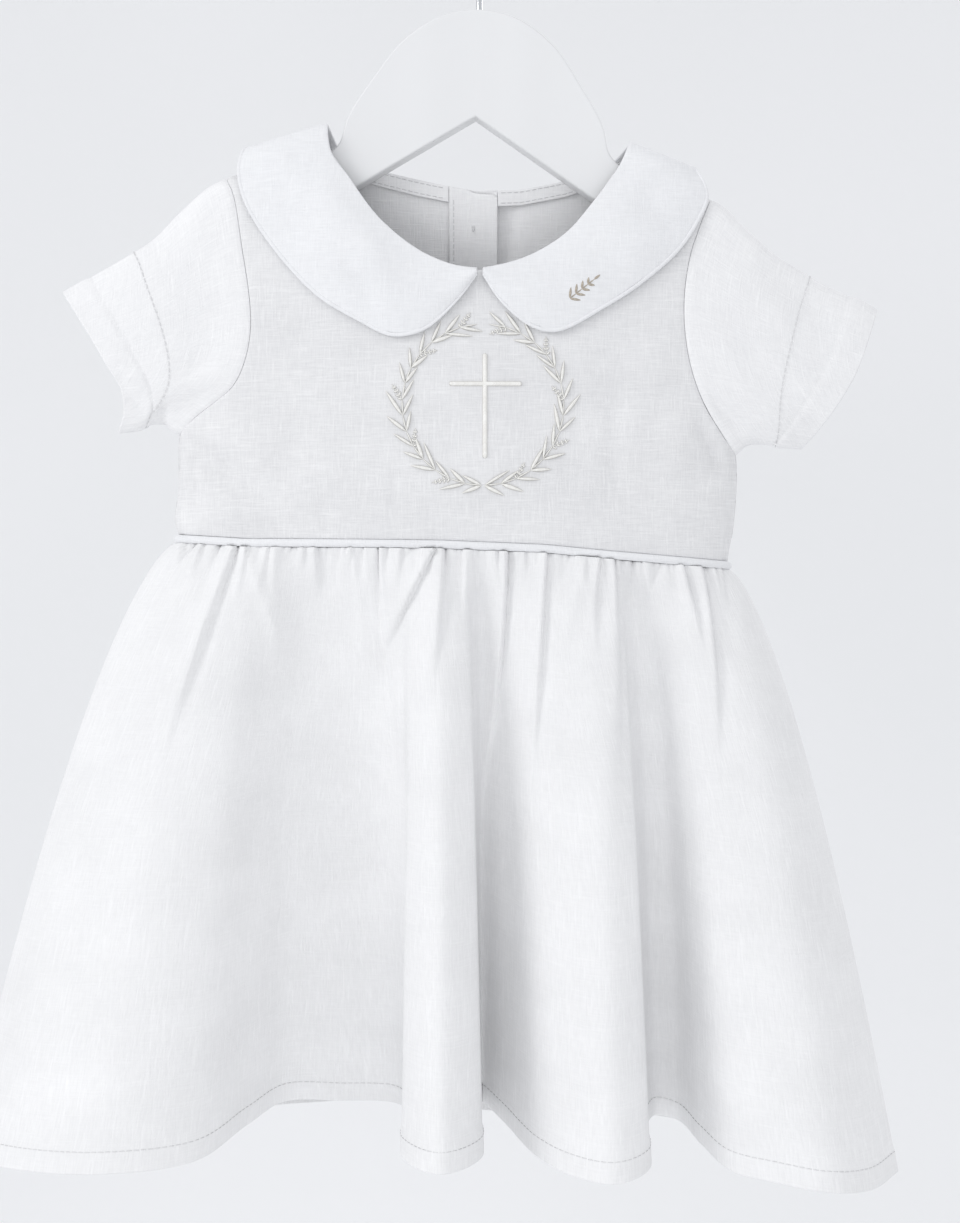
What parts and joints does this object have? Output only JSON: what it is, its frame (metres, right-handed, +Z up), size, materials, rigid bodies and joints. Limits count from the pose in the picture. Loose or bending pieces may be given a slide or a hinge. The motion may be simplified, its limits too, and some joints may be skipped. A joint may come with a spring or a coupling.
{
  "type": "christening gown on a clothes hanger",
  "caption": "Baby's short-sleeved linen christening dress with a round collar, corded waist and gathered skirt, hanging on a flat wooden hanger with a wire hook.",
  "frame": {"origin": "the inside top of the hanger's hook, where the hook rests on a rail", "axes": "+Z up; the front of the dress faces -Y; +X to the right seen from the front"},
  "size_m": [0.454, 0.1373, 0.622],
  "materials": {
    "linen": "white plain-woven linen with an uneven slub, washed and pressed, matte",
    "collar_linen": "white linen in two layers, slightly smoother and brighter than the body, matte",
    "binding_linen": "white linen strip, topstitched, matte",
    "button_shell": "pearly white, satin gloss",
    "hanger_wood": "wood painted white, satin, with softly worn edges",
    "hook_steel": "bright drawn steel wire"
  },
  "bodies": {
    "root": {"bodice_front": "linen", "bodice_back_left": "linen", "bodice_back_right": "linen", "sleeve_left": "linen", "sleeve_right": "linen", "skirt_front": "linen", "skirt_back": "linen", "collar_left": "collar_linen", "collar_right": "collar_linen", "waist_piping": "collar_linen", "binding_left": "binding_linen", "binding_right": "binding_linen", "placket": "binding_linen", "button_1": "button_shell", "button_2": "button_shell", "button_3": "button_shell", "button_4": "button_shell", "hanger_body": "hanger_wood", "hanger_hook": "hook_steel"}
  },
  "joints": []
}
